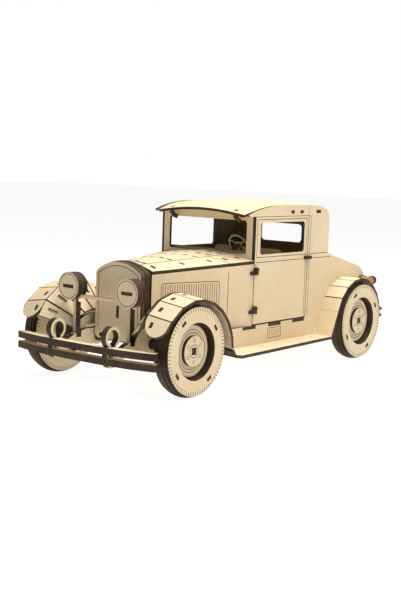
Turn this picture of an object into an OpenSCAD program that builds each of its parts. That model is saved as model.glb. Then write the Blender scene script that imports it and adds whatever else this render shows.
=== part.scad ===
// Wooden push-together model of a two-door coupe, cut from flat sheet.
// Millimetres. The front faces -Y, the car's left side faces +X, Z is up and
// the wheels stand on Z = 0. The origin is under the middle of the car.
// Lengths along the car are measured back from the front axle.

/* [Sheet] */
// Thickness of the cut sheet
sheet = 3; // [2.7:0.1:3.6]
// Thickness of the bent roof skin
skin = 2.6; // [2.2:0.1:3.2]
// Slack of a tab in its slot, on each side
slack = 0.12; // [0.05:0.01:0.25]
// Gap left between two neighbouring pieces
seam = 0.3; // [0.2:0.05:0.6]
// Depth of the engraved lines
engrave = 0.4; // [0.2:0.05:0.8]
// Width of the engraved lines
line_w = 0.6; // [0.4:0.05:1]

/* [Wheels] */
// Distance between the two axles
wheelbase = 282; // [250:1:345]
// Radius of a wheel over its largest sheet
wheel_r = 40; // [34:0.5:42]
// Radius that the two cover sheets of a wheel lose
cover_step = 2; // [1:0.25:4]
// Radius of the recess round the hub
recess_r = 24.8; // [20:0.2:28]
// Radius of the hub cap
cap_r = 13; // [10:0.2:16]
// Front wheels, centre line of the car to the outer face
front_track = 85; // [80:0.5:102]
// Rear wheels, centre line of the car to the outer face
rear_track = 80.4; // [78:0.1:97]
// Side of the square ends of an axle
axle_side = 6; // [5:0.1:7]
// Radius of the round collar that turns in a chassis rail
collar_r = 4.8; // [4.4:0.1:5.6]
// Radial clearance of a collar or a pin in its hole
running_fit = 0.06; // [0.02:0.01:0.1]

/* [Chassis] */
// Front axle to the front of the bumper
front_overhang = 58; // [54:0.5:70]
// Rear axle to the back of the rear bumper
rear_overhang = 63; // [58:0.5:76]
// Centre line of the car to the middle of a chassis rail
rail_x = 32.3; // [31:0.1:34]
// Underside of the floor plate above the ground
floor_z = 44.5; // [43.5:0.5:50]
// Top of the running boards above the ground
board_z = 29; // [26:0.5:33]
// Half of the front bumper's length
bumper_half = 81; // [70:0.5:97]
// Top of the front bumper above the ground
bumper_z = 43; // [42:0.25:44]
// Half of the rear bumper's length
rear_bumper_half = 74; // [62:0.5:88]

/* [Hood] */
// Half width of the radiator plate
radiator_half = 26.7; // [24:0.1:27]
// Top of the radiator plate above the ground
radiator_top = 109.3; // [104:0.1:112]
// Half width of the hood where it starts behind the radiator
hood_half = 28.5; // [28:0.1:34]
// Radius of a headlight
lamp_r = 12.5; // [10:0.1:15]
// Centre line of the car to the middle of a headlight
lamp_x = 34.6; // [32:0.1:38]
// Middle of the headlights above the ground
lamp_z = 86.5; // [82:0.5:92]

/* [Cabin] */
// Half width of the body over its side sheets
body_half = 57; // [56:0.5:64]
// Front axle to the windshield frame
windshield_y = 117.3; // [112:0.5:135]
// Length of a door
door_l = 90; // [82:0.5:108]
// Top of the doors above the ground
door_top = 149.5; // [146:0.5:160]
// Flat top of the roof rails above the ground
roof_z = 160; // [158:0.5:172]
// Rise of the roof skin at the centre line
roof_crown = 3; // [1:0.25:5]
// Length of the cabin behind the doors
cabin_rear_l = 38; // [34:0.5:50]
// Lower edge of the windows above the ground
window_z = 114.3; // [112:0.5:120]
// Height of a door window
window_h = 30; // [24:0.5:31]

/* [Fenders] */
// Half length of the front fender's arch
arch_a = 50; // [48:0.25:58]
// Height of the front fender's arch over the axle
arch_b = 47.8; // [46.5:0.25:54]
// Radius of the rear fender's arch
rear_arch_r = 44.8; // [44.5:0.1:52]
// Width of the front fender's top panels
fender_w = 24.6; // [18:0.2:25.5]
// Fall of the front fender towards its outer edge, in degrees
fender_fall = 7.6; // [4:0.2:9]
// Centre line of the car to the rear fender's outer edge
rear_fender_x = 77.6; // [72:0.2:86]

/* [Hidden] */
$fn = 48;

light = [0.85, 0.74, 0.56];
pale = [0.93, 0.84, 0.66];
shade = [0.70, 0.59, 0.45];
burnt = [0.36, 0.26, 0.18];

overall_l = front_overhang + wheelbase + rear_overhang;
front_y = front_overhang - overall_l / 2;   // front axle
axle_z = wheel_r;
stack = 2 * sheet;                          // two sheets glued together
floor_top = floor_z + sheet;
body_in = body_half - sheet;                // inner face of the body's sides
fitted = body_in - slack;                   // half width of what stands between them

// Side view, measured back from the front axle
radiator_y = -7;                            // front of the radiator
hood_y = radiator_y + 4 * sheet;            // back of the radiator
hood_end = 88.6;                            // seam between hood and cowl
frame_y = windshield_y + seam;              // front of the windshield frame
door_y = windshield_y + 1;                  // front edge of a door
door_end = door_y + door_l;
quarter_y = door_end + 0.9;
cabin_end = quarter_y + cabin_rear_l;
body_end = wheelbase + 42.5;
visor_y = windshield_y - 11;
crest_y = windshield_y + 40;                // where the roof rail becomes level
hood_angle = atan2(body_half - hood_half, windshield_y - hood_y);
side_l = (windshield_y - hood_y) / cos(hood_angle);
door_z = floor_top + 1.3;
foot_y = arch_a + 18;                       // front end of the running board
rear_r = max(rear_arch_r, wheel_r + sheet + 1.8);
rear_foot_y = wheelbase - rear_r - 9;       // its rear end
joint_angles = [-67, -48, -27, -7, 7, 24, 41, 58, 75, 90];
rear_angles = [-73, -54, -35, -17, 0, 17, 35, 54, 72, 90];

// ---- helpers ----

// A flat drawing in (y, z), given thickness t from x
module side_plate(x, t = sheet) {
    translate([x, front_y, 0]) rotate([90, 0, 90]) linear_extrude(t) children();
}
// A flat drawing in (x, z), given thickness t from y
module cross_plate(y, t = sheet) {
    translate([0, front_y + y + t, 0]) rotate([90, 0, 0]) linear_extrude(t) children();
}
// A flat drawing in (x, y), given thickness t from z
module level_plate(z, t = sheet) {
    translate([0, front_y, z]) linear_extrude(t) children();
}
module other_side() { mirror([1, 0, 0]) children(); }
module both_sides() { children(); other_side() children(); }
module bar(y0, y1, z0, z1) { translate([y0, z0]) square([y1 - y0, z1 - z0]); }
module rounded(w, h, r) {
    offset(r) translate([r, r]) square([w - 2 * r, h - 2 * r]);
}
module outline(w, h, r) {
    difference() {
        rounded(w, h, r);
        translate([line_w, line_w]) rounded(w - 2 * line_w, h - 2 * line_w, r - line_w / 2);
    }
}
module groove_ring(r) {
    difference() { circle(r); circle(r - line_w); }
}

// A flat four-cornered panel: its upper face runs a, b, c, d and it is t thick downwards
function unit(v) = v / norm(v);
function normal(a, b, c, d) = unit(cross(c - a, d - b));
module panel(a, b, c, d, t = sheet, up = 0) {
    n = normal(a, b, c, d);
    top = [for (p = [a, b, c, d]) p + n * up];
    low = [for (p = [a, b, c, d]) p - n * t];
    polyhedron(concat(top, low),
        [[2, 1, 0], [3, 2, 0], [4, 5, 6], [4, 6, 7],
         [0, 1, 5], [0, 5, 4], [1, 2, 6], [1, 6, 5],
         [2, 3, 7], [2, 7, 6], [3, 0, 4], [3, 4, 7]]);
}
function mix(a, b, t) = a + (b - a) * t;
function on_quad(q, u, v) = mix(mix(q[0], q[1], u), mix(q[3], q[2], u), v);

// Facets of an arch: flat strips along the corners p, laid side by side
function turn(p, i) = atan2(p[i + 1][1] - p[i][1], p[i + 1][0] - p[i][0]);
function bend(p, i) = i < 1 || i > len(p) - 2 ? 0 : abs(turn(p, i) - turn(p, i - 1));
function setback(p, i) = sheet * tan(bend(p, i) / 2) + 0.06;
module strip(p, i) {
    a = setback(p, i);
    b = setback(p, i + 1);
    translate(p[i]) rotate(turn(p, i)) translate([a, -sheet])
        square([norm(p[i + 1] - p[i]) - a - b, sheet]);
}
// The same corners, moved d inwards, for what carries the strips
function inset_point(p, i, d) =
    let (before = turn(p, max(i - 1, 0)), after = turn(p, min(i, len(p) - 2)),
         mid = (before + after) / 2, s = d / cos((before - after) / 2))
    p[i] + s * [sin(mid), -cos(mid)];
function inset_path(p, d) = [for (i = [0:len(p) - 1]) inset_point(p, i, d)];
module band(p, from, to) {
    a = inset_path(p, from);
    b = inset_path(p, to);
    polygon(concat(a, [for (i = [len(b) - 1:-1:0]) b[i]]));
}

// ---- chassis ----

ring_r = 9;                                 // outside of a bumper bracket's ring
ring_hole = 6.4;
ring_y = 8 - front_overhang;                // middle of the ring
ring_z = bumper_z + 8;
rail_low = 33;
rail_tail = wheelbase + rear_overhang - 14;
bumper_low = bumper_z - 5 * sheet;          // underside of the lower bumper rail
neck_front = ring_y - 4.8;                  // front of a bracket's neck
bracket_back = ring_y + 4.5;                // where it meets the chassis rail
boss_r = 8;                                 // a rail's eye round an axle
leg_w = 3.4;
leg_foot = 41;                              // lower end of the headlights' legs

module rail_shape() {
    difference() {
        union() {
            polygon([[bracket_back, 38], [-38, 40.5], [-30, 44], [-16, floor_z + 3], [-2, floor_z + 3],
                     [hood_y - 0.3, floor_z], [rail_tail, floor_z], [rail_tail, rail_low + 3],
                     [-18, rail_low], [bracket_back, 31]]);
            for (y = [0, wheelbase]) translate([y, axle_z]) circle(boss_r);
        }
        for (y = [0, wheelbase]) translate([y, axle_z]) circle(collar_r + running_fit);
        for (y = member_ys) bar(y - slack, y + sheet + slack, rail_low - 1, rail_low + 5);
        bar(leg_y - slack, leg_y + stack + slack, leg_foot, floor_z + 6);
    }
}
module chassis_rail_left() {
    color(shade) side_plate(rail_x - sheet, stack) rail_shape();
}

member_ys = [70, 132, 196, 240];
module cross_members() {
    color(burnt) for (y = member_ys) cross_plate(y) difference() {
        bar(-body_in, body_in, rail_low + 1, floor_z);
        for (s = [-1, 1]) translate([s * rail_x, 0])
            bar(-sheet - slack, sheet + slack, rail_low + 5, floor_z + 1);
    }
}

tab_l = 21;
tab_ys = [103, 145, 186.5];
function hood_x(y) = hood_half + (body_half - hood_half) * (y - hood_y) / (windshield_y - hood_y);
module floor_plate() {
    tail = body_end - sheet - seam;
    color(light) level_plate(floor_z) difference() {
        union() {
            polygon([[hood_half, hood_y], [hood_x(floor_step), floor_step], [fitted, floor_step],
                     [fitted, tail], [-fitted, tail], [-fitted, floor_step],
                     [-hood_x(floor_step), floor_step], [-hood_half, hood_y]]);
            for (y = tab_ys) bar(-body_half, body_half, y, y + tab_l);
        }
        for (y = [0, wheelbase], s = [-1, 1])
            translate([s * rail_x, y]) square([12, 2 * boss_r + 2], center = true);
    }
}
floor_step = 86;                            // where the sills start under the body

module sill_left() {
    top = floor_top;
    start = floor_step + seam;
    stop = rear_foot_y + 9;
    color(pale) difference() {
        side_plate(body_in) difference() {
            polygon([[start, board_z - sheet], [stop - 9, board_z - sheet], [stop - 9, board_z + 2],
                     [stop, top], [start, top]]);
            for (y = tab_ys) bar(y - slack, y + tab_l + slack, floor_z - slack, top + 1);
            for (y = board_tab_ys) bar(y - slack, y + 15 + slack, 0, board_z + slack);
        }
        // a small engraved tread plate
        side_plate(body_half - engrave, 1) {
            translate([tab_ys[1] - 1, board_z + 4]) outline(23, 10, 1.5);
            for (i = [1:6]) translate([tab_ys[1] - 1 + i * 3.2, board_z + 6]) square([line_w, 6]);
        }
    }
}

board_out = front_track - 1;
module running_board_left() {
    color(pale) level_plate(board_z - sheet) {
        polygon([[body_half, foot_y + seam], [board_out, foot_y + seam],
                 [rear_fender_x + 1, rear_foot_y - seam], [body_half, rear_foot_y - seam]]);
        for (y = board_tab_ys) translate([body_in, y]) square([sheet + 1, 15]);
    }
}
board_tab_ys = [104, 150, 196];

// ---- bumpers ----

bow_depth = 8.5;
function bow_y(x, half) = bow_depth * pow(abs(x) / half, 3);
module bow_bar(half, w) {
    xs = [for (s = [-1:0.125:1]) half * s];
    polygon(concat([for (x = xs) [x, bow_y(x, half)]],
                   [for (i = [len(xs) - 1:-1:0]) [0.97 * xs[i], bow_y(xs[i], half) + w]]));
}
module bumper_shape() {
    difference() {
        translate([0, -front_overhang]) bow_bar(bumper_half, 7.5);
        for (s = [-1, 1]) translate([s * rail_x, 0])
            bar(-sheet - slack, sheet + slack, neck_front - slack, bracket_back);
    }
}
module bumper_brackets() {
    gap_z = bumper_low + stack;
    color(pale) both_sides() side_plate(rail_x - sheet, stack) difference() {
        union() {
            translate([ring_y, ring_z]) circle(ring_r);
            bar(neck_front, ring_y + 4, bumper_low, ring_z);
            bar(1.2 - front_overhang, bracket_back, gap_z, bumper_z - stack);
            bar(ring_y, bracket_back, 31, 38);
            intersection() {
                translate([ring_y - 0.5, bumper_low + 3.5]) circle(6.5);
                bar(-front_overhang, bracket_back, 0, bumper_low);
            }
        }
        translate([ring_y, ring_z]) circle(ring_hole);
        bar(ring_y - 2.5, ring_y + 2.5, bumper_z, ring_z);
        for (y = [-5.3, -1.4]) bar(ring_y + y, ring_y + y + 2.4, gap_z + 0.8, gap_z + 2);
    }
}

module front_bumper_upper() {
    color(shade) level_plate(bumper_z - stack, stack) bumper_shape();
}
module front_bumper_lower() {
    color(shade) level_plate(bumper_low, stack) bumper_shape();
}

rear_rail_z = [46.5, 39.5];
module rear_bumper() {
    back = wheelbase + rear_overhang;
    color(burnt) {
        for (z = rear_rail_z) level_plate(z) difference() {
            translate([0, back]) mirror([0, 1]) bow_bar(rear_bumper_half, 7);
            for (s = [-1, 1]) translate([s * rail_x, back - 5.5]) square([stack, 5], center = true);
        }
        both_sides() side_plate(rail_x - sheet, stack) {
            bar(rail_tail, back - 8, rail_low + 4, floor_z);
            bar(back - 8, back - 3, rear_rail_z[1] - 1, rear_rail_z[0] + 4.5);
        }
    }
}

// ---- radiator and lights ----

radiator_low = 39.5;
radiator_bow = 9.8;                         // rise of its arched top
module radiator_outline(grow = 0) {
    half = radiator_half + grow;
    top = radiator_top + grow;
    r = (half * half + radiator_bow * radiator_bow) / (2 * radiator_bow);
    offset(5) offset(-5) intersection() {
        bar(-half, half, radiator_low - 2 * grow, top);
        translate([0, top - r]) circle(r, $fn = 160);
    }
}
module radiator_slots(ease = 0) {
    w = sheet / 2 + ease;
    bar(-w, w, 90 - ease, 93.5 + ease);
    bar(-w, w, 59.5 - ease, 70.5 + ease);
    for (s = [-1, 1]) translate([s * 17.6, radiator_low + 3.2]) square([7 + 2 * ease, 2 * w], center = true);
}
module radiator_front() {
    color(shade) difference() {
        cross_plate(radiator_y) difference() { radiator_outline(); radiator_slots(slack); }
        cross_plate(radiator_y - 1, 1 + engrave) difference() {
            offset(-3) radiator_outline();
            offset(-3 - line_w) radiator_outline();
            bar(-radiator_half, radiator_half, 0, radiator_low + 10);
        }
    }
}
core_low = max(floor_z, axle_z + collar_r + 0.5);
core_steps = [0.5, 1, 0.7];                 // how far each sheet stands out past the front
module radiator_core() {
    color(burnt) {
        cross_plate(radiator_y + 0.2, sheet) intersection() {
            radiator_slots();
            bar(-sheet, sheet, core_low, radiator_top);
        }
        for (i = [1:3]) cross_plate(radiator_y + i * sheet) intersection() {
            radiator_outline(core_steps[i - 1]);
            bar(-hood_half, hood_half, core_low, radiator_top + 5);
        }
    }
}

lamp_y = -34;
leg_y = lamp_y + 2 * sheet;
leg_x = rail_x - 0.2;
key_w = 12.5;
module lamp_key(ease = 0) {
    square([key_w + 2 * ease, sheet + 2 * ease], center = true);
}
module headlight_bracket() {
    color(shade) {
        cross_plate(leg_y) difference() {
            union() {
                for (s = [-1, 1]) translate([s * lamp_x, lamp_z]) circle(lamp_r - 0.2);
                bar(-lamp_x, lamp_x, lamp_z - 10, lamp_z - 7);
                for (s = [-1, 1]) translate([s * leg_x, 0]) bar(-leg_w / 2, leg_w / 2, leg_foot, lamp_z - 8);
            }
            for (s = [-1, 1]) translate([s * lamp_x, lamp_z]) lamp_key(slack);
        }
        both_sides() cross_plate(leg_y + sheet)
            bar(leg_x - leg_w / 2, leg_x + leg_w / 2, leg_foot, lamp_z - lamp_r - 2);
        both_sides() translate([lamp_x, 0, 0]) cross_plate(lamp_y + 0.2, 4 * sheet - 0.4)
            translate([0, lamp_z]) lamp_key();
    }
}
module headlight_left() {
    at = [lamp_x, lamp_z];
    color(shade) difference() {
        union() {
            cross_plate(lamp_y) translate(at) circle(lamp_r);
            cross_plate(lamp_y + sheet) translate(at) circle(lamp_r - 0.35);
            cross_plate(leg_y + sheet) translate(at) circle(lamp_r - 0.5);
        }
        cross_plate(lamp_y - 1, 6 * sheet) translate(at) lamp_key(slack);
        cross_plate(lamp_y - 1, 1 + engrave) translate(at) groove_ring(lamp_r - 1.4);
    }
}

// ---- hood and cowl ----

side_top = [99.6, 105.8];                   // top edge of a hood side, front and rear
louvre_n = 24;
louvre_pitch = 2.62;
louvre_at = [12, 70];
louvre_h = 20;
module hood_side_left() {
    color(light) difference() {
        translate([hood_half, front_y + hood_y, 0]) rotate([0, 0, -hood_angle])
        translate([0, -front_y, 0]) difference() {
            side_plate(-sheet) polygon([[0, floor_top], [side_l, floor_top], [side_l, side_top[1]],
                                        [0, side_top[0]]]);
            side_plate(-engrave, 1) {
                translate([louvre_at[0] - 1.8, louvre_at[1] - 1.8])
                    outline(louvre_n * louvre_pitch + 2.6, louvre_h + 3.6, 3);
                for (i = [0:louvre_n - 1]) translate([louvre_at[0] + i * louvre_pitch, louvre_at[1]])
                    square([line_w, louvre_h]);
                translate([side_l - 30.5, floor_top]) square([line_w, 46]);
                translate([side_l - 30.5, 93]) square([line_w, 7]);
            }
        }
        for (z = hinge_zs) hinge_gap(z - sheet / 2 - 0.1, fixed_arm[0], fixed_arm[1], sheet);
        translate([body_in - 5, front_y + windshield_y, floor_z]) cube([sheet + 6, 10, 100]);
    }
}

// Cross section of the hood at y: middle, knee and edge of its top
function run(y) = (y - hood_y) / (windshield_y - hood_y);
function crown_at(y) = [0, front_y + y, mix(109.4, 115.4, run(y))];
function knee_at(y) = [mix(hood_half / 2, body_half / 2, run(y)), front_y + y, mix(107.6, 113.6, run(y))];
function edge_at(y) = [hood_x(y) + 0.2, front_y + y, mix(side_top[0], side_top[1], run(y)) + sheet + 0.1];
former_ys = [11, 43, 75, 94, 109];
tab_w = 6;

// A tab that fills its slot through the top: mid is the slot's middle in (x, z)
module cross_tab(y, at, lean, depth, ease = 0) {
    cross_plate(y - ease, sheet + 2 * ease) translate(at) rotate(lean)
        translate([-tab_w / 2 - ease, -depth]) square([tab_w + 2 * ease, depth + (ease > 0 ? 2 : -0.25)]);
}
function slope_of(a, b) = atan2(b[2] - a[2], b[0] - a[0]);
module hood_tabs(ease = 0) {
    for (y = former_ys) {
        mid = y + sheet / 2;
        k = knee_at(mid);
        e = edge_at(mid);
        c = crown_at(mid);
        both_sides() cross_tab(y, [(k[0] + e[0]) / 2, (k[2] + e[2]) / 2], slope_of(k, e), sheet + 1.5, ease);
        both_sides() for (t = [0.3, 0.75])
            cross_tab(y, [mix(c[0], k[0], t), mix(c[2], k[2], t)], slope_of(c, k), sheet + 1.5, ease);
    }
}
module top_strip(inner0, outer0, inner1, outer1) { panel(inner0, outer0, outer1, inner1); }
module hood_top() {
    color(pale) difference() {
        both_sides() top_strip(crown_at(hood_y + seam) + [0.12, 0, 0], knee_at(hood_y + seam) - [0.35, 0, 0],
                               crown_at(hood_end) + [0.12, 0, 0], knee_at(hood_end) - [0.35, 0, 0]);
        hood_tabs(slack);
    }
}
module hood_shoulders() {
    color(pale) difference() {
        both_sides() top_strip(knee_at(hood_y + seam) + [0.75, 0, -0.2], edge_at(hood_y + seam),
                               knee_at(hood_end) + [0.75, 0, -0.2], edge_at(hood_end));
        hood_tabs(slack);
    }
}
module cowl_top() {
    start = hood_end + 1;
    stop = windshield_y - 0.25;
    color(pale) difference() {
        both_sides() {
            top_strip(crown_at(start) + [0.12, 0, 0], knee_at(start) - [0.35, 0, 0],
                      crown_at(stop) + [0.12, 0, 0], knee_at(stop) - [0.35, 0, 0]);
            top_strip(knee_at(start) + [0.75, 0, -0.2], edge_at(start),
                      knee_at(stop) + [0.75, 0, -0.2], edge_at(stop));
        }
        hood_tabs(slack);
    }
}
module hood_formers() {
    color(burnt) {
        for (y = former_ys) {
            e = edge_at(y);
            k = knee_at(y);
            c = crown_at(y);
            side = e[0] - (sheet + 0.4) / cos(hood_angle) - 0.2;
            drop = sheet + 0.35;
            cross_plate(y) polygon([
                [-side, floor_top], [side, floor_top], [side, e[2] - drop - 1.2], [k[0], k[2] - drop],
                [0, c[2] - drop], [-k[0], k[2] - drop], [-side, e[2] - drop - 1.2]]);
        }
        hood_tabs();
    }
}

// ---- windshield, dashboard and steering ----

post_w = 7;
function frame_top(x) = roof_z - 9.2 + 3.8 * (1 - pow(x / fitted, 2));
module windshield_frame() {
    steps = [for (s = [-1:0.1:1]) [fitted * s, frame_top(fitted * s)]];
    color(light) cross_plate(frame_y) difference() {
        polygon(concat([[fitted, floor_top], [-fitted, floor_top]], steps));
        translate([-fitted + post_w, window_z]) rounded(2 * (fitted - post_w), 31.5, 3);
    }
}
dash_y = frame_y + sheet + 8;
column_at = [16, 110];                      // where the column leaves the dashboard
column_tilt = 30;
column_l = 22;
column_r = 2;
module dashboard() {
    color(light) cross_plate(dash_y) difference() {
        bar(-fitted, fitted, 88, 116);
        translate(column_at) square([2 * column_r + 1, 7.2], center = true);
        for (x = [-30, -8]) translate([x, 104]) difference() { circle(5); circle(4.4); }
    }
    color(burnt) both_sides() translate([0, front_y + frame_y + sheet + slack, 92])
        translate([30, 0, 0]) cube([sheet, dash_y - frame_y - sheet - 2 * slack, 12]);
}
module along_column() {
    translate([column_at[0], front_y + dash_y + sheet / 2, column_at[1]]) rotate([-90 + column_tilt, 0, 0])
        children();
}
module steering_column() {
    color(burnt) along_column() {
        translate([0, 0, -8]) cylinder(r = column_r, h = column_l + 8 - 2);
        translate([0, 0, column_l - 2 - 0.01]) cylinder(r = column_r - 0.8, h = sheet + 3);
    }
}
wheel_rim = 11.5;
module steering_wheel() {
    hole = column_r - 0.8 + running_fit;
    color(pale) along_column() translate([0, 0, column_l - 2 + 0.1]) linear_extrude(sheet) {
        difference() { circle(wheel_rim); circle(wheel_rim - 1.8); }
        difference() {
            union() {
                circle(3.6);
                for (a = [90, 210, 330]) rotate(a) translate([0, -0.8]) square([wheel_rim - 1, 1.6]);
            }
            circle(hole);
        }
    }
}
module visor_hooks() {
    top = roof_under(visor_y + 4) + roof_crown * 0.42;
    color(burnt) both_sides() side_plate(38.6 - sheet / 2) polygon([
        [visor_y + 1.5, top - 1.6], [visor_y + 5, top], [visor_y + 7, top - 2.6],
        [frame_y - 0.1, top - 5.2], [frame_y - 0.1, top - 8], [visor_y + 6.5, top - 6]]);
}

// ---- seat ----

seat_y = 186;
module seat() {
    color(light) {
        level_plate(78) translate([-44, seat_y - 40]) rounded(88, 40, 5);
        for (x = [-36, -sheet / 2, 36 - sheet]) side_plate(x) bar(seat_y - 36, seat_y, floor_top, 78);
        cross_plate(seat_y) translate([-44, floor_top]) rounded(88, 68, 8);
    }
}

// ---- roof ----

function roof_at(y) = y < crest_y ? roof_z - 8.2 * pow((crest_y - y) / (crest_y - visor_y), 2) : roof_z;
corner_h = 15;
corner_k = 2.8;                             // how square the rounding of the corner is
function corner_at(y) =
    let (t = min(1, (y - door_end) / (cabin_end - door_end)))
    roof_z - corner_h + corner_h * pow(1 - pow(t, corner_k), 1 / corner_k);
function roof_line(y) = y < door_end ? roof_at(y) : corner_at(y);
function roof_under(y) = roof_line(y) - skin - 0.3;
brace_z = roof_z - skin - 2.2 - sheet;      // underside of the roof's brace
brace_end = cabin_end - 17;
// Tabs of the brace: where each starts and its length
brace_tabs = [[crest_y + 19.3, 5.5], [crest_y + 35.3, 5.5], [brace_end - 8.5, 8.5]];
module brace_slots(ease) {
    for (t = brace_tabs)
        bar(t[0] - ease, t[0] + t[1] + ease, brace_z - ease, brace_z + sheet + ease);
}
module roof_rail_left() {
    top = [for (i = [0:18]) let (y = visor_y + i / 18 * (crest_y - visor_y)) [y, roof_at(y)]];
    color(light) side_plate(body_in) difference() {
        polygon(concat(top, [[door_end + 0.4, roof_z], [door_end + 0.4, door_top + 0.5],
                             [visor_y + 1.5, door_top + 0.5]]));
        brace_slots(slack);
    }
}
module roof_brace() {
    color(burnt) level_plate(brace_z) {
        bar(-fitted, fitted, crest_y + 14, brace_end);
        for (t = brace_tabs) bar(-body_half + 0.2, body_half - 0.2, t[0], t[0] + t[1]);
    }
}
roof_rows = 26;
roof_cols = 14;
roof_stop = cabin_end - 1.2;
function roof_half(y) = fitted - 2.4 * max(0, 1 - (y - visor_y) / 18);
function roof_point(i, j, drop) =
    let (y = mix(visor_y, roof_stop, i / roof_rows), s = 2 * j / roof_cols - 1,
         crown = roof_crown + 1.8 * max(0, 1 - (y - visor_y) / 40))
    [s * roof_half(y), front_y + y, roof_line(y) - 0.3 - drop + crown * (1 - s * s)];
module roof_skin() {
    n = (roof_rows + 1) * (roof_cols + 1);
    w = roof_cols + 1;
    top = [for (i = [0:roof_rows], j = [0:roof_cols]) roof_point(i, j, 0)];
    low = [for (i = [0:roof_rows], j = [0:roof_cols]) roof_point(i, j, skin)];
    quads = [for (i = [0:roof_rows - 1], j = [0:roof_cols - 1])
        [i * w + j, i * w + j + 1, (i + 1) * w + j + 1, (i + 1) * w + j]];
    edge = concat([for (j = [0:roof_cols]) j], [for (i = [1:roof_rows]) i * w + roof_cols],
                  [for (j = [roof_cols - 1:-1:0]) roof_rows * w + j], [for (i = [roof_rows - 1:-1:1]) i * w]);
    color(pale) difference() {
        polyhedron(concat(top, low), concat(
            [for (q = quads) each [[q[2], q[1], q[0]], [q[3], q[2], q[0]]]],
            [for (q = quads) each [[q[0] + n, q[1] + n, q[2] + n], [q[0] + n, q[2] + n, q[3] + n]]],
            [for (k = [0:len(edge) - 1]) let (a = edge[k], b = edge[(k + 1) % len(edge)])
                each [[a, b, b + n], [a, b + n, a + n]]]));
        both_sides() translate([38.6 - sheet / 2 - slack, front_y + visor_y + 3, roof_z - 12])
            cube([sheet + 2 * slack, 4, 14]);
    }
}

// ---- quarter panels, rear wall and deck ----

deck_r = 20;
deck_z = 110.3;
tail_corner = [body_end - deck_r, 75.5];
deck_arc = [for (a = [78:-13:0]) tail_corner + deck_r * [cos(a), sin(a)]];
module quarter_left() {
    corner = [for (a = [0:6:90]) let (y = mix(quarter_y, cabin_end, sin(a))) [y, corner_at(y)]];
    smooth_arc = [for (a = [78:-6:0]) tail_corner + deck_r * [cos(a), sin(a)]];
    color(light) difference() {
        side_plate(body_in) difference() {
            polygon(concat([[quarter_y, floor_top]], corner,
                           [[cabin_end, deck_z + 1.5], [cabin_end + 1.5, deck_z]],
                           smooth_arc, [[body_end, floor_top]]));
            brace_slots(slack);
        }
        side_plate(body_half - engrave, 1) {
            bar(quarter_y + 3, quarter_y + 3 + line_w, door_z, door_top);
            bar(quarter_y + 3, cabin_end, belt_high, belt_high + line_w);
            bar(quarter_y + 3, cabin_end + 4, belt_low, belt_low + line_w);
        }
    }
}
belt_high = 111.4;
belt_low = 106.8;
wall_y = cabin_end - sheet - 0.6;
module rear_wall() {
    top = roof_line(roof_stop) - skin - 0.6;
    arch = [for (s = [-1:0.1:1]) [fitted * s, top + roof_crown * (1 - s * s)]];
    color(light) cross_plate(wall_y) difference() {
        polygon(concat([[fitted, floor_top], [-fitted, floor_top]], arch));
        translate([-26, window_z + 5]) rounded(52, 19, 4);
    }
}
deck_path = concat([[cabin_end + 0.6, deck_z - 0.6], mix([cabin_end, deck_z], deck_arc[0], 0.35),
                    mix([cabin_end, deck_z], deck_arc[0], 0.7)],
                   [for (p = deck_arc) p - [0.4, 0.4]], [[body_end - 0.4, floor_top + 0.5]]);
module rear_deck() {
    color(pale) for (i = [0:len(deck_path) - 2])
        side_plate(-fitted, 2 * fitted) strip(deck_path, i);
}
tail_former_ys = [min(cabin_end + 18, wheelbase - boss_r - sheet - 1.5), wheelbase + boss_r + 3.2];
module tail_formers() {
    color(burnt) for (y = tail_former_ys) {
        run_at = (y + sheet - cabin_end) / (deck_arc[0][0] - cabin_end);
        top = mix(deck_z, deck_arc[0][1], run_at) - sheet - 1.4;
        cross_plate(y) bar(-fitted, fitted, floor_top, top);
    }
}

// ---- doors ----

hinge_zs = [60.9, 97.4];
pin_r = 1.2;
pivot = [body_half + 2.5, windshield_y + 0.4];
knuckle_r = 2.5;
module hinge_arm(z, y0, y1, ease) {
    level_plate(z) difference() {
        union() {
            translate(pivot) circle(knuckle_r);
            translate([body_in, y0]) square([pivot[0] - body_in, y1 - y0]);
        }
        translate(pivot) circle(pin_r + ease);
    }
}
module hinge_gap(z, y0, y1, h) {
    translate([body_in - 1, front_y + y0 - slack, z - slack])
        cube([sheet + 2, y1 - y0 + 2 * slack, h + 2 * slack]);
}
fixed_arm = [windshield_y - 4.4, windshield_y - 0.6];
door_arm = [door_y + 0.5, door_y + 4.3];
module door_left() {
    window_w = door_l - 15;
    color(light) difference() {
        side_plate(body_in) difference() {
            bar(door_y, door_end, door_z, door_top);
            translate([door_y + 8, window_z]) rounded(window_w, window_h, 3);
        }
        side_plate(body_half - engrave, 1) {
            bar(door_y + 2, door_end - 2, belt_high, belt_high + line_w);
            bar(door_y + 2, door_end - 2, belt_low, belt_low + line_w);
            bar(door_y + 2.4, door_y + 2.4 + line_w, belt_high, door_top - 2);
            bar(door_end - 3, door_end - 3 + line_w, door_z, door_top - 2);
            bar(door_y + 2.4, door_end - 2.4, door_top - 2.6, door_top - 2.6 + line_w);
        }
        for (z = hinge_zs) hinge_gap(z + sheet / 2 + 0.2, door_arm[0], door_arm[1], sheet);
        translate([body_in - 1, front_y + latch_y + 1 - slack, latch_z - slack])
            cube([sheet + 2, 4 + 2 * slack, sheet + 2 * slack]);
    }
    color(burnt) for (z = hinge_zs) difference() {
        hinge_arm(z + sheet / 2 + 0.2, door_arm[0], door_arm[1], running_fit);
        translate([0, front_y + door_y - 5, z]) cube([pivot[0] - 1.6, 5.3, 3 * sheet]);
    }
}
latch_y = door_end - 6.2;
latch_z = 108.2 - sheet / 2;
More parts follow.
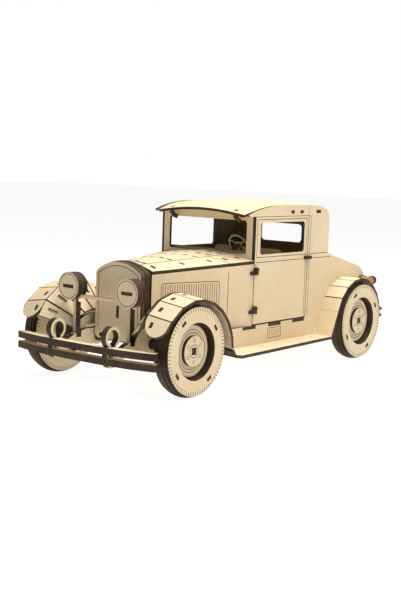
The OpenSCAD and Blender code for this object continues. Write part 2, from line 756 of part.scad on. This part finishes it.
module latch_left() {
    color(burnt) level_plate(latch_z) {
        translate([body_half + seam, latch_y]) square([2.6, 10.6]);
        translate([body_in - 1, latch_y + 1]) square([sheet + 2, 4]);
    }
}
module hinge_brackets() {
    color(burnt) both_sides() for (z = hinge_zs) {
        difference() {
            hinge_arm(z - sheet / 2 - 0.1, fixed_arm[0], fixed_arm[1], 0);
            translate([0, front_y + windshield_y - 0.5, z - 2 * sheet]) cube([pivot[0] - 1.6, 6, 3 * sheet]);
        }
        translate([pivot[0], front_y + pivot[1], z - sheet / 2 - 0.1]) cylinder(r = pin_r, h = 2 * sheet + 1);
    }
}

// ---- fenders ----

fender_in = front_track + 0.6 - fender_w;
fender_drop = fender_w * tan(fender_fall);  // how much lower the outer edge is
arch_shift = 1.5;
arch_h = max(arch_b, wheel_r + sheet + fender_drop + 1.4);
function arch_point(a) = [arch_shift + arch_a * sin(a), axle_z + arch_h * cos(a)];
front_path = concat([for (a = joint_angles) arch_point(a)],
                    [[arch_shift + arch_a + 4.5, axle_z - 7], [foot_y, board_z]]);
arch_x = front_track - 6 * sheet - 0.6;     // arch sheet, just inside the wheel
former_x = min(5.4, arch_x - fender_in);    // fender's inner edge to its arch sheet
fender_tab = 5;

// The fender's upper face at corner i, w out from its inner edge
function fall(i) = i < len(front_path) - 2 ? 1 : i == len(front_path) - 2 ? 0.6 : 0;
function fender_point(i, w) =
    [fender_in + w, front_y + front_path[i][0], front_path[i][1] - fender_drop * fall(i) * w / fender_w];
function fender_quad(i) =
    let (s = setback(front_path, i), t = setback(front_path, i + 1),
         n = shy(fender_point(i, 0), fender_point(i + 1, 0), s, t),
         o = shy(fender_point(i, fender_w), fender_point(i + 1, fender_w), s, t))
    [n[0], o[0], o[1], n[1]];
function shy(a, b, t, u) = let (d = unit(b - a)) [a + d * t, b - d * u];
module front_fender_left() {
    color(pale) {
        for (i = [1:len(front_path) - 2]) difference() {
            q = fender_quad(i);
            panel(q[0], q[1], q[2], q[3]);
            fender_slot(i, slack, 4);
        }
        difference() {
            fender_tip();
            fender_slot(0, slack, 4);
        }
    }
}
// The lowest front panel, with a round end that reaches a little past its corners
module fender_tip() {
    q = fender_quad(0);
    up = unit(q[3] - q[0]);
    l = norm(q[3] - q[0]);
    fall_line = unit(q[1] - q[0]);
    w = norm(q[1] - q[0]);
    n = cross(fall_line, up);
    face = concat([[0, l]], [for (a = [0:10:180]) [w / 2 * (1 - cos(a)), l - 3 - (l - 1.5) * sin(a)]],
                  [[w, l]]);
    top = [for (p = face) q[0] + fall_line * p[0] + up * p[1]];
    count = len(face);
    polyhedron(concat(top, [for (p = top) p - n * sheet]), concat(
        [[for (i = [count - 1:-1:0]) i]], [[for (i = [0:count - 1]) i + count]],
        [for (i = [0:count - 1]) let (j = (i + 1) % count)
            each [[i, j, j + count], [i, j + count, i + count]]]));
}
// A prism through the fender at the middle of panel i; it ends h above the face
module fender_slot(i, ease, h) {
    mid = (fender_point(i, former_x + sheet / 2) + fender_point(i + 1, former_x + sheet / 2)) / 2;
    if (norm(front_path[i + 1] - front_path[i]) > 9)
        translate(mid) rotate([turn(front_path, i), 0, 0])
            translate([-sheet / 2 - ease, -fender_tab / 2 - ease, -sheet - 2])
                cube([sheet + 2 * ease, fender_tab + 2 * ease, sheet + 2 + h]);
}
module front_arches() {
    low = sheet + 0.2 + fender_drop * (former_x + sheet) / fender_w;
    color(burnt) both_sides() {
        translate([fender_in, 0, 0]) side_plate(former_x) intersection() {
            band(front_path, low, low + 5);
            bar(front_path[0][0] + 4.5, arch_a + 1, board_z, 200);
        }
        for (i = [0:len(joint_angles) - 2]) fender_slot(i, 0, -0.4);
    }
}

// Sloping panels from the fender's arch down to a small arch beside the chassis rail
apron_in = rail_x + sheet + 1.2;
small_arch = [30, 22.5];
apron_angles = [-67, -48, -27, -7, 13, 33, 53];
function apron_low(a) =
    [apron_in, front_y + arch_shift + small_arch[0] * sin(a), axle_z + small_arch[1] * cos(a)];
function apron_high(a) = let (p = arch_point(a)) [fender_in - 0.7, front_y + p[0], p[1] - 1.2];
function apron_quad(i) =
    let (o = shy(apron_high(apron_angles[i]), apron_high(apron_angles[i + 1]), 0.55, 0.55),
         n = shy(apron_low(apron_angles[i]), apron_low(apron_angles[i + 1]), 0.55, 0.55))
    [n[0], o[0], o[1], n[1]];
module apron_left() {
    color(light) {
        for (i = [0:len(apron_angles) - 2]) {
            q = apron_quad(i);
            difference() {
                panel(q[3], q[2], q[1], q[0], sheet - 0.5);
                panel(on_quad(q, 0.54, 0.74), on_quad(q, 0.84, 0.7), on_quad(q, 0.84, 0.5),
                      on_quad(q, 0.54, 0.52), sheet + 1, 1);
            }
        }
        // the wall that carries their lower ends
        side_plate(rail_x + sheet) difference() {
            intersection() {
                polygon([for (a = [-90:10:90])
                    [arch_shift + (small_arch[0] - 2) * sin(a), axle_z + (small_arch[1] - 2.2) * cos(a)]]);
                bar(-40, 40, rail_low + 8, 100);
            }
            bar(-10, 10, 0, axle_z + 10);
        }
    }
}

rear_path = concat([[rear_foot_y, board_z]],
    [for (a = rear_angles) [wheelbase + rear_r * sin(a), axle_z + rear_r * cos(a)]]);
rear_in = body_half;
module rear_fender_left() {
    color(pale) for (i = [0:len(rear_path) - 2])
        side_plate(rear_in, rear_fender_x - rear_in) strip(rear_path, i);
}
module rear_arches() {
    color(burnt) both_sides() side_plate(rear_in) intersection() {
        band(rear_path, sheet + 0.05, sheet + 7);
        bar(rear_foot_y + 7, wheelbase + 60, board_z, 200);
    }
}

// ---- tail lamps ----

lamp_end = 7.5;                             // tail of the body to the lamp
tail_lamp_z = 78;
module tail_lamps() {
    back = body_end + lamp_end;
    color([0.64, 0.52, 0.37]) both_sides() {
        side_plate(body_half) polygon([
            [body_end - 12, tail_lamp_z + 5], [body_end - 12, tail_lamp_z],
            [body_end - 4, tail_lamp_z - 1], [back - sheet, tail_lamp_z - 3],
            [back - sheet, tail_lamp_z + 3], [body_end - 4, tail_lamp_z + 6]]);
        translate([body_half + 4.7, 0, 0]) cross_plate(back - sheet, stack)
            translate([0, tail_lamp_z]) circle(4.7);
    }
}

// ---- wheels ----

hole_side = axle_side + 2 * slack;
module wheel_layers(front) {
    step = cover_step;
    mid_step = cover_step * 0.35;
    difference() {
        union() {
            cylinder(r = wheel_r - step, h = sheet);
            translate([0, 0, sheet]) cylinder(r = wheel_r - mid_step, h = sheet);
            translate([0, 0, 2 * sheet]) cylinder(r = wheel_r, h = sheet);
            translate([0, 0, 3 * sheet]) cylinder(r = wheel_r - mid_step, h = sheet);
            translate([0, 0, 4 * sheet]) cylinder(r = wheel_r - step, h = sheet);
        }
        translate([0, 0, 3 * sheet]) cylinder(r = recess_r, h = 2 * sheet + 1);
        translate([0, 0, -1]) cylinder(r = recess_r, h = 2 * sheet + 1);
        translate([-hole_side / 2, -hole_side / 2, 0]) cube([hole_side, hole_side, 5 * sheet]);
        for (z = [-1, 5 * sheet - engrave]) translate([0, 0, z]) linear_extrude(1 + engrave) tread();
        for (z = [-1, 5 * sheet - 0.8]) translate([0, 0, z]) linear_extrude(1.8) rotate(front) key_slots();
        translate([0, 0, 3 * sheet - engrave]) linear_extrude(1)
            for (r = [16.2, 18.6, 22.6]) groove_ring(r);
    }
}
tread_n = 72;
module tread() {
    r = wheel_r - cover_step;
    for (i = [0:tread_n - 1]) rotate(i * 360 / tread_n)
        translate([r - 3.5, -line_w / 2]) square([3.1, line_w]);
}
module key_slots() {
    for (a = [36:90:306]) rotate(a) translate([(recess_r + wheel_r - cover_step) / 2 - 0.4, 0])
        square([sheet, 2 * sheet], center = true);
}
// Puts a wheel on the left side: its outer face is at x
module on_left(x, y) { translate([x - 5 * sheet, front_y + y, axle_z]) rotate([90, 0, 90]) children(); }
module wheel_front_left() { color(light) on_left(front_track, 0) wheel_layers(0); }
module wheel_rear_left() { color(light) on_left(rear_track, wheelbase) wheel_layers(-8); }

module hub_cap() {
    translate([0, 0, 3 * sheet]) difference() {
        cylinder(r = cap_r, h = sheet);
        translate([-hole_side / 2, -hole_side / 2, -1]) cube([hole_side, hole_side, sheet + 2]);
        translate([0, 0, sheet - engrave]) linear_extrude(1) {
            groove_ring(5.8);
            for (a = [30:60:330]) rotate(a) translate([9.3, 0]) difference() { circle(1.6); circle(1.15); }
        }
    }
}
module hub_caps(x, y) {
    color(light) both_sides() on_left(x, y) hub_cap();
}
module axle(y, x) {
    s = axle_side / 2;
    end = x - sheet - 0.2;
    color(burnt) translate([0, front_y + y, axle_z]) rotate([0, 90, 0]) {
        for (m = [-1, 1]) translate([-s, -s, m > 0 ? rail_x : -end])
            cube([axle_side, axle_side, end - rail_x]);
        translate([0.5 - s, 0.5 - s, -rail_x]) cube([axle_side - 1, axle_side - 1, 2 * rail_x]);
        for (m = [-1, 1]) translate([0, 0, m * rail_x]) cylinder(r = collar_r, h = stack + 4, center = true);
        for (m = [-1, 1]) translate([0, 0, m * (x - 3 * sheet - 1)]) cylinder(r = 8, h = 2, center = true);
    }
}

// ---- the parts ----

chassis_rail_left();
other_side() chassis_rail_left();  // chassis_rail_right
cross_members();
floor_plate();
radiator_front();
radiator_core();
headlight_bracket();
headlight_left();
other_side() headlight_left();  // headlight_right
bumper_brackets();
front_bumper_upper();
front_bumper_lower();
hood_side_left();
other_side() hood_side_left();  // hood_side_right
hood_top();
hood_shoulders();
cowl_top();
hood_formers();
windshield_frame();
dashboard();
steering_column();
steering_wheel();
visor_hooks();
seat();
sill_left();
other_side() sill_left();  // sill_right
running_board_left();
other_side() running_board_left();  // running_board_right
roof_rail_left();
other_side() roof_rail_left();  // roof_rail_right
roof_skin();
roof_brace();
quarter_left();
other_side() quarter_left();  // quarter_right
rear_wall();
rear_deck();
tail_formers();
front_fender_left();
other_side() front_fender_left();  // front_fender_right
front_arches();
apron_left();
other_side() apron_left();  // apron_right
rear_fender_left();
other_side() rear_fender_left();  // rear_fender_right
rear_arches();
tail_lamps();
rear_bumper();
door_left();
other_side() door_left();  // door_right
latch_left();
other_side() latch_left();  // latch_right
hinge_brackets();
axle(0, front_track);  // front_axle
axle(wheelbase, rear_track);  // rear_axle
wheel_front_left();
other_side() wheel_front_left();  // wheel_front_right
wheel_rear_left();
other_side() wheel_rear_left();  // wheel_rear_right
hub_caps(front_track, 0);  // front_hub_caps
hub_caps(rear_track, wheelbase);  // rear_hub_caps
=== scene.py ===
import bpy, bmesh, math
import numpy as np
from mathutils import Matrix, Vector


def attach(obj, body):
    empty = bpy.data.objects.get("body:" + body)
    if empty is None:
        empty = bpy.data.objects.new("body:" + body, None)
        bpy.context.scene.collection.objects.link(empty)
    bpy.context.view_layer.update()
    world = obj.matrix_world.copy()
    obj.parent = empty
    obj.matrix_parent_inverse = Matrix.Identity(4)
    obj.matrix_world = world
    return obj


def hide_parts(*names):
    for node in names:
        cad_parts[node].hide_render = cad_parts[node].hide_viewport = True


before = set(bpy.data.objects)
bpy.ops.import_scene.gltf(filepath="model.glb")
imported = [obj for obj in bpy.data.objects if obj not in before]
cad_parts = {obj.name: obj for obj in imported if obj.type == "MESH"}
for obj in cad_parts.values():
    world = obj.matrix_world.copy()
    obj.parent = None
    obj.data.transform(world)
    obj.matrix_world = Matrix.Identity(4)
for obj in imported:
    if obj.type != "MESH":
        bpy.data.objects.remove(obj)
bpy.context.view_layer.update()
print("frame loaded:", len(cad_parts), "nodes")

mm = 0.001
scene = bpy.context.scene
scene.view_settings.view_transform = "Standard"
scene.view_settings.look = "None"

# Camera off the car's left front corner, a little higher than the roof; angles in degrees
cameraSetup = {"lens": 65.21, "sensor": 36.0, "clip": (0.01, 20), "turn": 38.08, "down": 7.13,
               "roll": 2.0, "place": (0.64336, -0.85365, 0.19666)}

def makeCamera(setup):
    data = bpy.data.cameras.new("camera")
    data.lens, data.sensor_width = setup["lens"], setup["sensor"]
    data.clip_start, data.clip_end = setup["clip"]
    camera = bpy.data.objects.new("camera", data)
    scene.collection.objects.link(camera)
    turn = Matrix.Rotation(math.radians(setup["turn"]), 4, "Z")
    lean = Matrix.Rotation(math.radians(90 - setup["down"]), 4, "X")
    roll = Matrix.Rotation(math.radians(setup["roll"]), 4, "Z")
    camera.matrix_world = Matrix.Translation(setup["place"]) @ turn @ lean @ roll
    scene.camera = camera

makeCamera(cameraSetup)
print("camera placed")

# Soft square lights, in metres and watts
lights = {
    "top":   {"place": (0.1, 0.05, 1.1), "aim": (0, 0, 0.1), "size": 0.8, "watts": 17},
    "side":  {"place": (1.1, -0.2, 0.85), "aim": (0, 0, 0.1), "size": 0.6, "watts": 6.0},
    "front": {"place": (0.2, -1.3, 0.7), "aim": (0, 0, 0.08), "size": 0.8, "watts": 0.9},
}
warmWhite = (1.0, 0.985, 0.96)

def makeLight(name, setup):
    data = bpy.data.lights.new(name, "AREA")
    data.size, data.energy = setup["size"], setup["watts"]
    data.color = warmWhite
    light = bpy.data.objects.new(name, data)
    light.location = setup["place"]
    towards = Vector(setup["aim"]) - Vector(setup["place"])
    light.rotation_euler = towards.to_track_quat("-Z", "Y").to_euler()
    scene.collection.objects.link(light)

for name, setup in lights.items():
    makeLight(name, setup)

# A white wall to look at, and a dimmer one that lights the car
studio = {"seen": 1.0, "ambient": 0.14, "colour": (1, 1, 1)}

def makeStudio(setup):
    world = bpy.data.worlds.new("studio")
    scene.world = world
    world.use_nodes = True
    nodes, links = world.node_tree.nodes, world.node_tree.links
    path = nodes.new("ShaderNodeLightPath")
    level = nodes.new("ShaderNodeMapRange")
    level.inputs["To Min"].default_value = setup["ambient"]
    level.inputs["To Max"].default_value = setup["seen"]
    links.new(path.outputs["Is Camera Ray"], level.inputs["Value"])
    links.new(level.outputs["Result"], nodes["Background"].inputs["Strength"])
    nodes["Background"].inputs["Color"].default_value = (*setup["colour"], 1)

makeStudio(studio)
print("lights placed:", len(lights))

def newFinish(name):
    finish = bpy.data.materials.new(name)
    finish.use_nodes = True
    nodes, links = finish.node_tree.nodes, finish.node_tree.links
    return finish, nodes, links, nodes["Principled BSDF"]

def objectNoise(nodes, links, scale, detail):
    place = nodes.new("ShaderNodeTexCoord")
    noise = nodes.new("ShaderNodeTexNoise")
    noise.inputs["Scale"].default_value = scale
    noise.inputs["Detail"].default_value = detail
    links.new(place.outputs["Object"], noise.inputs["Vector"])
    return noise.outputs["Fac"]

# Colours that blend from the first stop to the second as the value rises
def ramp(nodes, links, value, first, second):
    blend = nodes.new("ShaderNodeValToRGB")
    for element, (position, colour) in zip(blend.color_ramp.elements, (first, second)):
        element.position, element.color = position, (*colour, 1)
    links.new(value, blend.inputs["Fac"])
    return blend.outputs["Color"]

def multiply(nodes, links, amount, first, second):
    mix = nodes.new("ShaderNodeMix")
    mix.data_type, mix.blend_type = "RGBA", "MULTIPLY"
    mix.inputs["Factor"].default_value = amount
    links.new(first, mix.inputs["A"])
    links.new(second, mix.inputs["B"])
    return mix.outputs["Result"]

def grey(level):
    return (level, level, level)

# Roughness, shine and bump, all from one noise
def surface(nodes, links, shader, height, setup):
    smooth, coarse = setup["rough"]
    rough = ramp(nodes, links, height, (0.3, grey(smooth)), (0.7, grey(coarse)))
    links.new(rough, shader.inputs["Roughness"])
    shader.inputs["Specular IOR Level"].default_value = setup["shine"]
    bump = nodes.new("ShaderNodeBump")
    bump.inputs["Strength"].default_value = setup["bump"]
    bump.inputs["Distance"].default_value = setup["bumpDepth"]
    links.new(height, bump.inputs["Height"])
    links.new(bump.outputs["Normal"], shader.inputs["Normal"])

# Pressed board: pale, with short fibres, soft clouds and a few darker flecks
boardGrain = {"fibreScale": 900, "fleckScale": 420, "fleckAmount": 0.55, "rough": (0.62, 0.78),
              "shine": 0.35, "bump": 0.25, "bumpDepth": 0.3 * mm}
boards = {
    "board": {"light": (0.80, 0.66, 0.44), "dark": (0.74, 0.59, 0.38), "cloudScale": 22},
    # Dark board for the cabin's inner faces: painted shade standing in for the shadow inside the
    # cabin, the real board there is pale
    "paintedShadeBoard": {"light": (0.30, 0.22, 0.145), "dark": (0.24, 0.17, 0.11), "cloudScale": 22},
    "lampBoard": {"light": (0.62, 0.43, 0.22), "dark": (0.52, 0.35, 0.17), "cloudScale": 40},
}

def boardFinish(name, setup, grain):
    finish, nodes, links, shader = newFinish(name)
    fibres = objectNoise(nodes, links, grain["fibreScale"], 6)
    clouds = objectNoise(nodes, links, setup["cloudScale"], 3)
    flecks = objectNoise(nodes, links, grain["fleckScale"], 2)
    base = ramp(nodes, links, clouds, (0.3, setup["dark"]), (0.7, setup["light"]))
    fibreTone = ramp(nodes, links, fibres, (0.3, (0.86, 0.84, 0.81)), (0.62, grey(1)))
    fleckTone = ramp(nodes, links, flecks, (0.27, (0.7, 0.62, 0.52)), (0.36, grey(1)))
    toned = multiply(nodes, links, 1.0, base, fibreTone)
    toned = multiply(nodes, links, grain["fleckAmount"], toned, fleckTone)
    links.new(toned, shader.inputs["Base Color"])
    surface(nodes, links, shader, fibres, grain)
    return finish

# Edge left by the laser: scorched, with fine ridges and patches of soot
edgeGrain = {"ridgeScale": 520, "sootScale": 60, "rough": (0.5, 0.75), "shine": 0.3, "bump": 0.5,
             "bumpDepth": 0.4 * mm}
edges = {
    "scorchedEdge": {"light": (0.082, 0.052, 0.032), "dark": (0.032, 0.02, 0.012)},
    "engravedLine": {"light": (0.20, 0.12, 0.06), "dark": (0.11, 0.06, 0.03)},
}

def edgeFinish(name, setup, grain):
    finish, nodes, links, shader = newFinish(name)
    ridges = objectNoise(nodes, links, grain["ridgeScale"], 4)
    soot = objectNoise(nodes, links, grain["sootScale"], 3)
    tone = ramp(nodes, links, ridges, (0.3, setup["dark"]), (0.7, setup["light"]))
    sootTone = ramp(nodes, links, soot, (0.35, (0.55, 0.5, 0.45)), (0.65, (1.15, 1.1, 1.05)))
    links.new(multiply(nodes, links, 1.0, tone, sootTone), shader.inputs["Base Color"])
    surface(nodes, links, shader, ridges, grain)
    return finish

finishes = {name: boardFinish(name, setup, boardGrain) for name, setup in boards.items()}
finishes.update({name: edgeFinish(name, setup, edgeGrain) for name, setup in edges.items()})
print("finishes made:", len(finishes))

# Each triangle of a sheet is a pale face, a scorched edge, an engraved line or a cabin inside face,
# which gets painted shade
kindOf = {"face": 0, "edge": 1, "engraved": 2, "inside": 3}
sorting = {
    "join": 0.01 * mm,         # corners closer than this are one corner
    "level": 0.03 * mm,        # faces within this height lie in one plane
    "flat": 0.9995,            # the cosine of the turn allowed within a patch
    "parallel": 0.999,         # the cosine between two patches that face one way
    "facing": 0.99,            # the cosine between a face and the way it should look
    "bigger": 2.6,             # how many times larger the sheet around a small face is
    "engraved": (0.05 * mm, 0.9 * mm),    # how deep an engraved line lies
    "ledge": 0.9 * mm,         # anything narrower is an edge
}
faceOf = {"tail_lamps": "lampBoard"}

# Sheets whose only pale faces are those that look along the sheet's own thickness
plates = ("bumper_brackets", "steering_wheel", "front_bumper_upper", "front_bumper_lower",
          "headlight_bracket")

# Where each sheet around the cabin looks inwards; pale faces looking that way get the dark board of
# painted shade
insideFacing = {"rear_wall": (0, -1, 0), "windshield_frame": (0, 1, 0), "quarter_left": (-1, 0, 0),
                "quarter_right": (1, 0, 0), "roof_rail_left": (-1, 0, 0), "roof_rail_right": (1, 0, 0),
                "door_left": (-1, 0, 0), "door_right": (1, 0, 0), "floor_plate": (0, 0, 1)}

# Widest face that still counts as an edge, in millimetres: one sheet, or a stack of sheets
edgeWidth = {"default": 2.95, "chassis_rail_left": 5.9, "chassis_rail_right": 5.9,
             "front_bumper_upper": 5.9, "front_bumper_lower": 5.9, "rear_bumper": 5.9,
             "bumper_brackets": 1.0, "steering_wheel": 1.0, "front_axle": 8.0, "rear_axle": 8.0,
             "hinge_brackets": 6.4, "latch_left": 7.5, "latch_right": 7.5, "steering_column": 5.0}

def readArray(items, attribute, width, kind=float):
    values = np.zeros(len(items) * width, kind)
    items.foreach_get(attribute, values)
    return values.reshape(-1, width)

# Joins triangles that share a corner and a plane; gives each triangle its patch's number
def flatPatches(normals, offsets, corners):
    near = {}
    for triangle, trio in enumerate(corners):
        for corner in trio:
            near.setdefault(corner, []).append(triangle)
    patch = np.full(len(corners), -1)
    for start in range(len(corners)):
        if patch[start] >= 0:
            continue
        patch[start] = start
        queue = [start]
        while queue:
            for corner in corners[queue.pop()]:
                for other in near[corner]:
                    if patch[other] < 0 and abs(offsets[other] - offsets[start]) < sorting["level"] \
                            and normals[other] @ normals[start] > sorting["flat"]:
                        patch[other] = start
                        queue.append(other)
    return np.unique(patch, return_inverse=True)[1]

# Length of each patch's outline: the sides that only one of its triangles has
def outlineLengths(points, corners, joined, patch):
    lengths = np.zeros(patch.max() + 1)
    seen = {}
    for triangle, trio in enumerate(corners):
        for a, b in ((trio[0], trio[1]), (trio[1], trio[2]), (trio[2], trio[0])):
            side = (patch[triangle], min(joined[a], joined[b]), max(joined[a], joined[b]))
            seen.setdefault(side, []).append(np.linalg.norm(points[a] - points[b]))
    for side, sides in seen.items():
        if len(sides) == 1:
            lengths[side[0]] += sides[0]
    return np.maximum(lengths, sorting["join"])

# An edge is no wider than the sheet, and an engraved line lies just under a bigger face
def sheetKinds(mesh, normals, areas, edge):
    order = np.argsort(-areas)    # big triangles give the steadiest normals
    normals, areas = normals[order], areas[order]
    corners = readArray(mesh.polygons, "vertices", 3, int)[order]
    points = readArray(mesh.vertices, "co", 3)
    offsets = (normals * points[corners].mean(1)).sum(1)
    joined = np.unique(np.round(points / sorting["join"]), axis=0, return_inverse=True)[1].ravel()
    patch = flatPatches(normals, offsets, joined[corners])
    total = np.bincount(patch, areas)
    first = [np.flatnonzero(patch == i)[0] for i in range(len(total))]
    patchNormal, patchOffset = normals[first], offsets[first]
    width = 2 * total / outlineLengths(points, corners, joined, patch)
    shallow, deep = sorting["engraved"]
    kind = np.full(len(total), kindOf["face"])
    for i in range(len(total)):
        height = patchOffset - patchOffset[i]
        alike = patchNormal @ patchNormal[i] > sorting["parallel"]
        around = alike & (total > sorting["bigger"] * total[i])
        if (around & (height > shallow) & (height < deep)).any():
            kind[i] = kindOf["engraved"]
        elif width[i] < sorting["ledge"]:
            kind[i] = kindOf["edge"]
        elif width[i] < edge and not (around & (np.abs(height) < sorting["level"])).any():
            kind[i] = kindOf["edge"]
    kinds = np.zeros(len(areas), int)
    kinds[order] = kind[patch]
    return kinds

def finishSheets(name, node):
    mesh = node.data
    mesh.materials.clear()
    for finish in (faceOf.get(name, "board"), "scorchedEdge", "engravedLine", "paintedShadeBoard"):
        mesh.materials.append(finishes[finish])
    normals = readArray(mesh.polygons, "normal", 3)
    areas = readArray(mesh.polygons, "area", 1).ravel()
    kinds = sheetKinds(mesh, normals, areas, edgeWidth.get(name, edgeWidth["default"]) * mm)
    if name in plates:
        shares = [areas[abs(normals @ normal) > sorting["facing"]].sum() for normal in normals]
        kinds[abs(normals @ normals[np.argmax(shares)]) < sorting["facing"]] = kindOf["edge"]
    # Pale faces that look into the cabin get the dark board: painted shade
    if name in insideFacing:
        inwards = normals @ np.array(insideFacing[name]) > sorting["facing"]
        kinds[(kinds == kindOf["face"]) & inwards] = kindOf["inside"]
    mesh.polygons.foreach_set("material_index", kinds)
    mesh.update()

for name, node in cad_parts.items():
    finishSheets(name, node)
print("sheets finished")

# The bent roof skin as one smooth sheet; sharp is in degrees, steepest is a face's least cosine
roofSetup = {"join": 0.01 * mm, "sharp": 35, "steepest": 0.5}

def makeRoof(setup):
    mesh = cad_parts["roof_skin"].data.copy()
    mesh.name = "roofSheet"
    shape = bmesh.new()
    shape.from_mesh(mesh)
    bmesh.ops.remove_doubles(shape, verts=shape.verts, dist=setup["join"])
    bmesh.ops.recalc_face_normals(shape, faces=shape.faces)
    sharp = math.radians(setup["sharp"])
    for edge in shape.edges:
        edge.smooth = edge.calc_face_angle(0) < sharp
    for face in shape.faces:
        face.smooth = True
        face.material_index = kindOf["face" if abs(face.normal.z) > setup["steepest"] else "edge"]
    shape.to_mesh(mesh)
    shape.free()
    roof = bpy.data.objects.new("roofSheet", mesh)
    scene.collection.objects.link(roof)
    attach(roof, "chassis")
    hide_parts("roof_skin")

makeRoof(roofSetup)
print("roof made")

# Pale floor that glows a little, so that shadows stay faint; size is half its side, in metres
floorSetup = {"size": 6.0, "colour": (0.25, 0.25, 0.245), "rough": 0.9, "glow": 0.9}

def makeFloor(setup):
    shape = bmesh.new()
    bmesh.ops.create_grid(shape, x_segments=1, y_segments=1, size=setup["size"])
    mesh = bpy.data.meshes.new("floor")
    shape.to_mesh(mesh)
    shape.free()
    floor = bpy.data.objects.new("floor", mesh)
    scene.collection.objects.link(floor)
    finish, nodes, links, shader = newFinish("paleFloor")
    shader.inputs["Base Color"].default_value = (*setup["colour"], 1)
    shader.inputs["Roughness"].default_value = setup["rough"]
    shader.inputs["Emission Color"].default_value = (1, 1, 1, 1)
    shader.inputs["Emission Strength"].default_value = setup["glow"]
    mesh.materials.append(finish)

makeFloor(floorSetup)
print("floor made")
